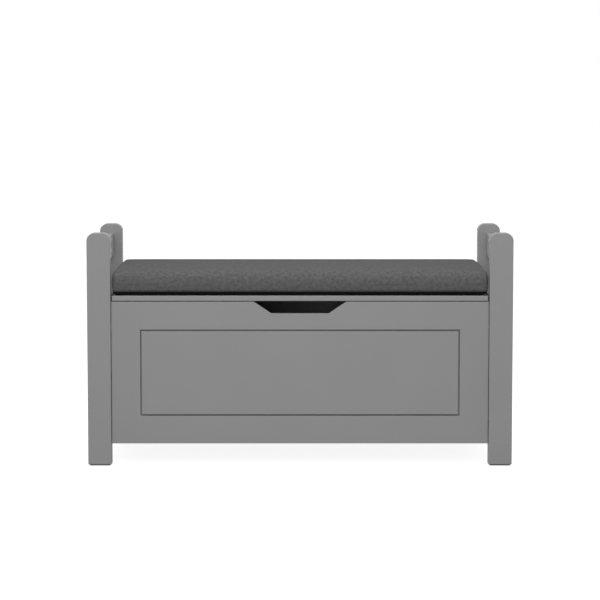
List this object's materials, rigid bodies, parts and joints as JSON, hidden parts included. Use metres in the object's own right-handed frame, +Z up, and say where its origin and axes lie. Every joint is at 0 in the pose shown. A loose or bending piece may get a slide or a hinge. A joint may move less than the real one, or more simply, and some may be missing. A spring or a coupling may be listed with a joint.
{
  "type": "storage bench",
  "caption": "Low storage bench with a padded seat that lifts as a lid, a routed front panel with a finger notch, and an arm rail at each end.",
  "frame": {"origin": "on the floor, under the middle of the bench", "axes": "+X to the right seen from the front, +Y to the back, +Z up; the front faces -Y"},
  "size_m": [1, 0.4, 0.55],
  "materials": {
    "grey_paint": "satin grey paint on board",
    "seat_fabric": "dark grey plain weave over foam",
    "felt": "pressed felt",
    "hook_and_loop": "black hook-and-loop tape",
    "rubber": "matt rubber",
    "beech": "bare beech",
    "zinc_steel": "bright zinc plate",
    "pin_steel": "plain steel"
  },
  "bodies": {
    "carcass": {"post_front_left": "grey_paint", "foot_pad_front_left": "felt", "rail_dowel_front_left": "beech", "post_front_right": "grey_paint", "foot_pad_front_right": "felt", "rail_dowel_front_right": "beech", "post_rear_left": "grey_paint", "foot_pad_rear_left": "felt", "rail_dowel_rear_left": "beech", "post_rear_right": "grey_paint", "foot_pad_rear_right": "felt", "rail_dowel_rear_right": "beech", "arm_rail_left": "grey_paint", "side_panel_left": "grey_paint", "arm_rail_right": "grey_paint", "side_panel_right": "grey_paint", "front_panel": "grey_paint", "back_panel": "grey_paint", "bottom_board": "grey_paint", "bottom_cleat_front": "grey_paint", "bottom_cleat_rear": "grey_paint", "lid_bumper_left": "rubber", "lid_bumper_right": "rubber", "bolt_front_left_lower": "zinc_steel", "barrel_nut_front_left_lower": "zinc_steel", "bolt_front_left_upper": "zinc_steel", "barrel_nut_front_left_upper": "zinc_steel", "bolt_front_right_lower": "zinc_steel", "barrel_nut_front_right_lower": "zinc_steel", "bolt_front_right_upper": "zinc_steel", "barrel_nut_front_right_upper": "zinc_steel", "bolt_rear_left_lower": "zinc_steel", "barrel_nut_rear_left_lower": "zinc_steel", "bolt_rear_left_upper": "zinc_steel", "barrel_nut_rear_left_upper": "zinc_steel", "bolt_rear_right_lower": "zinc_steel", "barrel_nut_rear_right_lower": "zinc_steel", "bolt_rear_right_upper": "zinc_steel", "barrel_nut_rear_right_upper": "zinc_steel", "hinge_fixed_leaf_left": "zinc_steel", "hinge_pin_left": "pin_steel", "hinge_fixed_leaf_right": "zinc_steel", "hinge_pin_right": "pin_steel", "stay_side_bracket_left": "zinc_steel", "stay_side_bracket_right": "zinc_steel"},
    "lid": {"lid_board": "grey_paint", "seat_cushion": "seat_fabric", "cushion_strip_front": "hook_and_loop", "cushion_strip_rear": "hook_and_loop", "hinge_lid_leaf_left": "zinc_steel", "hinge_lid_leaf_right": "zinc_steel", "stay_lid_bracket_left": "zinc_steel", "stay_lid_bracket_right": "zinc_steel"},
    "stay_lower_left": {"stay_lower_arm_left": "zinc_steel", "stay_elbow_rivet_left": "pin_steel"},
    "stay_upper_left": {"stay_upper_arm_left": "zinc_steel"},
    "stay_lower_right": {"stay_lower_arm_right": "zinc_steel", "stay_elbow_rivet_right": "pin_steel"},
    "stay_upper_right": {"stay_upper_arm_right": "zinc_steel"}
  },
  "joints": [
    {"name": "lid_hinge", "type": "hinge", "parent": "carcass", "child": "lid", "pos_m": [0, 0.196, 0.38925], "axis": [-1, 0, 0], "range_deg": [0, 90]},
    {"name": "stay_lower_pivot_left", "type": "hinge", "parent": "carcass", "child": "stay_lower_left", "pos_m": [-0.4414, 0.126, 0.26801], "axis": [-1, 0, 0], "range_deg": [0, 90]},
    {"name": "stay_upper_pivot_left", "type": "hinge", "parent": "lid", "child": "stay_upper_left", "pos_m": [-0.4386, 0.05704, 0.37225], "axis": [1, 0, 0], "range_deg": [0, 90]},
    {"name": "stay_lower_pivot_right", "type": "hinge", "parent": "carcass", "child": "stay_lower_right", "pos_m": [0.4414, 0.126, 0.26801], "axis": [-1, 0, 0], "range_deg": [0, 90]},
    {"name": "stay_upper_pivot_right", "type": "hinge", "parent": "lid", "child": "stay_upper_right", "pos_m": [0.4386, 0.05704, 0.37225], "axis": [1, 0, 0], "range_deg": [0, 90]}
  ],
  "couplings": [
    {"joint": "stay_lower_pivot_left", "follows": "lid_hinge", "ratio": 1},
    {"joint": "stay_upper_pivot_left", "follows": "lid_hinge", "ratio": 1},
    {"joint": "stay_lower_pivot_right", "follows": "lid_hinge", "ratio": 1},
    {"joint": "stay_upper_pivot_right", "follows": "lid_hinge", "ratio": 1}
  ]
}
